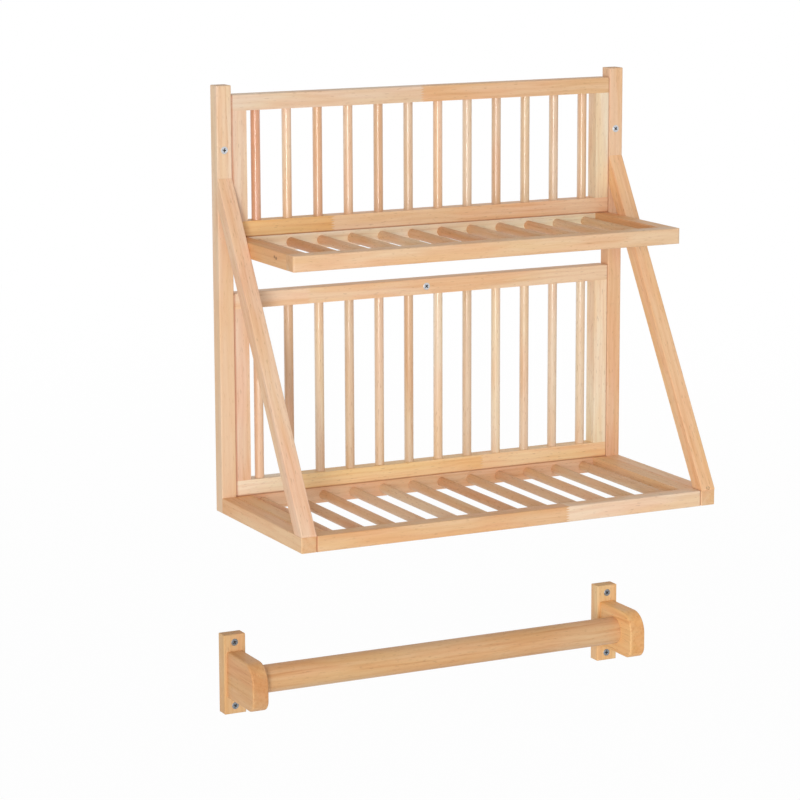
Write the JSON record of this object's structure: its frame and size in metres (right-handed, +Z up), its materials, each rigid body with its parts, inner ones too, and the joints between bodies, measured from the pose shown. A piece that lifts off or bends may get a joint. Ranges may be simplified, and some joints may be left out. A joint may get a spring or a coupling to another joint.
{
  "type": "wall plate rack",
  "caption": "Two-tier wall rack of square wooden bars and round dowels that holds plates on edge, with a separate wall rail of one turning rod between rounded brackets below.",
  "frame": {"origin": "on the axis of the middle wall screw, where it leaves the back of the rack; the wall is the plane y = 0", "axes": "+Z up, +Y into the wall, so the front faces -Y; +X to the right seen from the front"},
  "size_m": [0.58, 0.275, 0.805],
  "materials": {
    "bar_wood": "satin clear lacquer on pale hardwood",
    "dowel_wood": "satin clear lacquer on turned pale hardwood",
    "rail_wood": "satin clear lacquer on pale hardwood",
    "peg_wood": "bare pale hardwood",
    "screw_steel": "bright zinc plated steel"
  },
  "bodies": {
    "rack": {"left_post": "bar_wood", "right_post": "bar_wood", "left_base_rail": "bar_wood", "right_base_rail": "bar_wood", "left_brace": "bar_wood", "right_brace": "bar_wood", "toe_plug": "peg_wood", "upper_back_top_rail": "bar_wood", "upper_back_bottom_rail": "bar_wood", "upper_back_left_stile": "bar_wood", "upper_back_right_stile": "bar_wood", "lower_back_top_rail": "bar_wood", "lower_back_bottom_rail": "bar_wood", "lower_back_left_stile": "bar_wood", "lower_back_right_stile": "bar_wood", "upper_shelf_back_rail": "bar_wood", "upper_shelf_front_rail": "bar_wood", "upper_shelf_left_rail": "bar_wood", "upper_shelf_right_rail": "bar_wood", "lower_shelf_back_rail": "bar_wood", "lower_shelf_front_rail": "bar_wood", "lower_shelf_left_rail": "bar_wood", "lower_shelf_right_rail": "bar_wood", "upper_shelf_dowels": "dowel_wood", "lower_shelf_dowels": "dowel_wood", "joint_pegs": "peg_wood", "wall_screws": "screw_steel", "rail_left_plate": "rail_wood", "rail_right_plate": "rail_wood", "rail_left_arm": "rail_wood", "rail_right_arm": "rail_wood", "rail_pegs": "peg_wood", "rail_wall_screws": "screw_steel", "upper_back_dowel_1": "dowel_wood", "upper_back_dowel_2": "dowel_wood", "upper_back_dowel_3": "dowel_wood", "upper_back_dowel_4": "dowel_wood", "upper_back_dowel_5": "dowel_wood", "upper_back_dowel_6": "dowel_wood", "upper_back_dowel_7": "dowel_wood", "upper_back_dowel_8": "dowel_wood", "upper_back_dowel_9": "dowel_wood", "upper_back_dowel_10": "dowel_wood", "upper_back_dowel_11": "dowel_wood", "upper_back_dowel_12": "dowel_wood", "lower_back_dowel_1": "dowel_wood", "lower_back_dowel_2": "dowel_wood", "lower_back_dowel_3": "dowel_wood", "lower_back_dowel_4": "dowel_wood", "lower_back_dowel_5": "dowel_wood", "lower_back_dowel_6": "dowel_wood", "lower_back_dowel_7": "dowel_wood", "lower_back_dowel_8": "dowel_wood", "lower_back_dowel_9": "dowel_wood", "lower_back_dowel_10": "dowel_wood", "lower_back_dowel_11": "dowel_wood", "lower_back_dowel_12": "dowel_wood"},
    "rod": {"rail_rod": "rail_wood"}
  },
  "joints": [
    {"name": "rail_rod_spin", "type": "hinge", "parent": "rack", "child": "rod", "pos_m": [0, -0.055, -0.4825], "axis": [1, 0, 0], "continuous": true}
  ]
}
